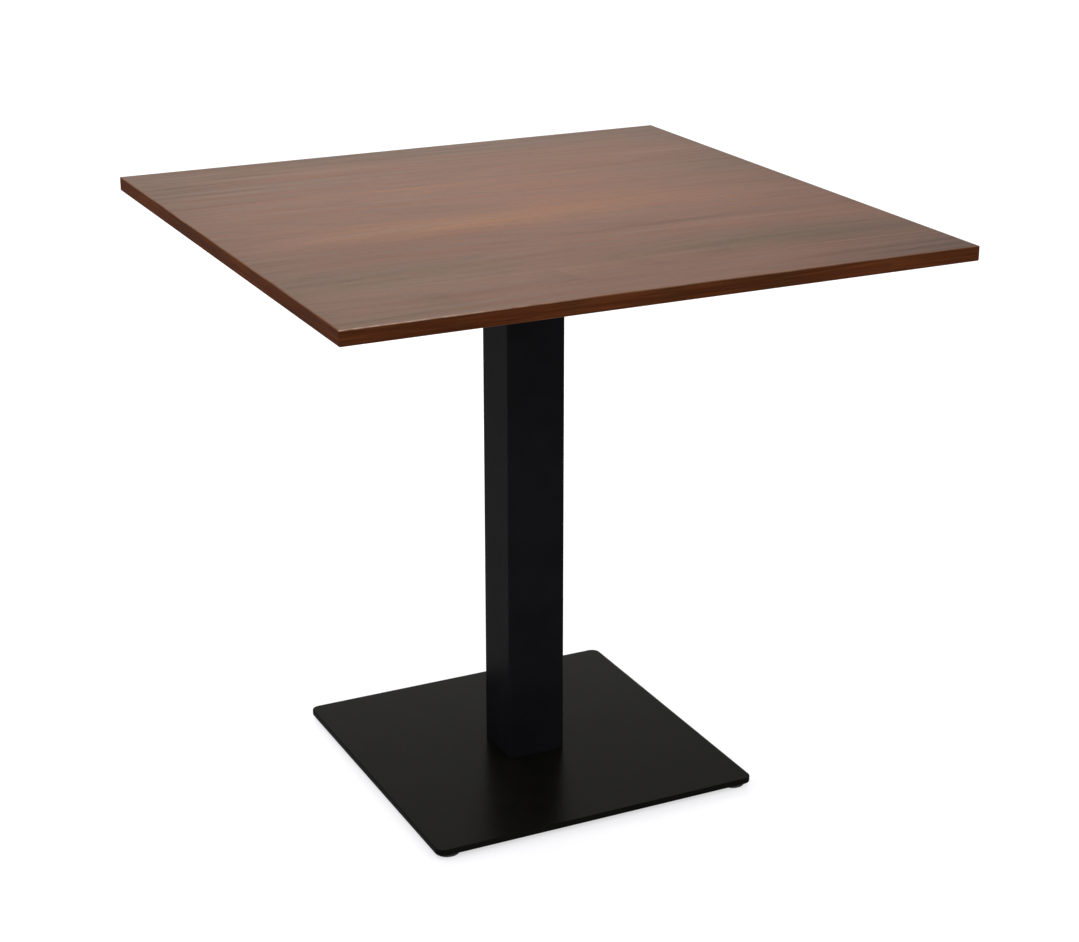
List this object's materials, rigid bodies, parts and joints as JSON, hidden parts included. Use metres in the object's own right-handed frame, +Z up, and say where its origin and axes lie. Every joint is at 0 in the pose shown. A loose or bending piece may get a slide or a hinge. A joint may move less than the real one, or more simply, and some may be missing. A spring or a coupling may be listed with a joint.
{
  "type": "bistro table",
  "caption": "Square pedestal table: thin walnut-look laminated top on a square black steel column and a thin square steel base plate with screw-in levelling feet.",
  "frame": {"origin": "on the floor, on the column's axis, with every foot screwed fully in", "axes": "+Z up; +X along the top's grain, to the right; -Y is the front"},
  "size_m": [0.8, 0.8, 0.75],
  "materials": {
    "walnut_laminate": "satin woodgrain laminate",
    "walnut_edging": "satin printed edging",
    "chipboard": "raw",
    "black_powder_coat": "fine texture satin powder coat",
    "zinc_steel": "zinc plated",
    "black_nylon": "moulded matt"
  },
  "bodies": {
    "table_frame": {"tabletop_core": "chipboard", "top_laminate": "walnut_laminate", "underside_laminate": "walnut_laminate", "edge_band_front": "walnut_edging", "edge_band_back": "walnut_edging", "edge_band_left": "walnut_edging", "edge_band_right": "walnut_edging", "mounting_cross": "black_powder_coat", "tabletop_screws": "zinc_steel", "cross_screws": "zinc_steel", "column_tube": "black_powder_coat", "column_head_plate": "black_powder_coat", "column_foot_plate": "black_powder_coat", "base_plate": "black_powder_coat", "base_screws": "zinc_steel"},
    "foot_stem_front_left": {"foot_stem_front_left": "zinc_steel"},
    "foot_pad_front_left": {"foot_pad_front_left": "black_nylon"},
    "foot_stem_front_right": {"foot_stem_front_right": "zinc_steel"},
    "foot_pad_front_right": {"foot_pad_front_right": "black_nylon"},
    "foot_stem_back_left": {"foot_stem_back_left": "zinc_steel"},
    "foot_pad_back_left": {"foot_pad_back_left": "black_nylon"},
    "foot_stem_back_right": {"foot_stem_back_right": "zinc_steel"},
    "foot_pad_back_right": {"foot_pad_back_right": "black_nylon"}
  },
  "joints": [
    {"name": "foot_travel_front_left", "type": "slide", "parent": "table_frame", "child": "foot_stem_front_left", "axis": [0, 0, -1], "range_m": [0, 0.003]},
    {"name": "foot_turn_front_left", "type": "hinge", "parent": "foot_stem_front_left", "child": "foot_pad_front_left", "pos_m": [-0.205, -0.205, 0], "axis": [0, 0, -1], "range_deg": [0, 864]},
    {"name": "foot_travel_front_right", "type": "slide", "parent": "table_frame", "child": "foot_stem_front_right", "axis": [0, 0, -1], "range_m": [0, 0.003]},
    {"name": "foot_turn_front_right", "type": "hinge", "parent": "foot_stem_front_right", "child": "foot_pad_front_right", "pos_m": [0.205, -0.205, 0], "axis": [0, 0, -1], "range_deg": [0, 864]},
    {"name": "foot_travel_back_left", "type": "slide", "parent": "table_frame", "child": "foot_stem_back_left", "axis": [0, 0, -1], "range_m": [0, 0.003]},
    {"name": "foot_turn_back_left", "type": "hinge", "parent": "foot_stem_back_left", "child": "foot_pad_back_left", "pos_m": [-0.205, 0.205, 0], "axis": [0, 0, -1], "range_deg": [0, 864]},
    {"name": "foot_travel_back_right", "type": "slide", "parent": "table_frame", "child": "foot_stem_back_right", "axis": [0, 0, -1], "range_m": [0, 0.003]},
    {"name": "foot_turn_back_right", "type": "hinge", "parent": "foot_stem_back_right", "child": "foot_pad_back_right", "pos_m": [0.205, 0.205, 0], "axis": [0, 0, -1], "range_deg": [0, 864]}
  ],
  "couplings": [
    {"joint": "foot_travel_front_left", "follows": "foot_turn_front_left", "m_per_rad": 0.00019894},
    {"joint": "foot_travel_front_right", "follows": "foot_turn_front_right", "m_per_rad": 0.00019894},
    {"joint": "foot_travel_back_left", "follows": "foot_turn_back_left", "m_per_rad": 0.00019894},
    {"joint": "foot_travel_back_right", "follows": "foot_turn_back_right", "m_per_rad": 0.00019894}
  ]
}
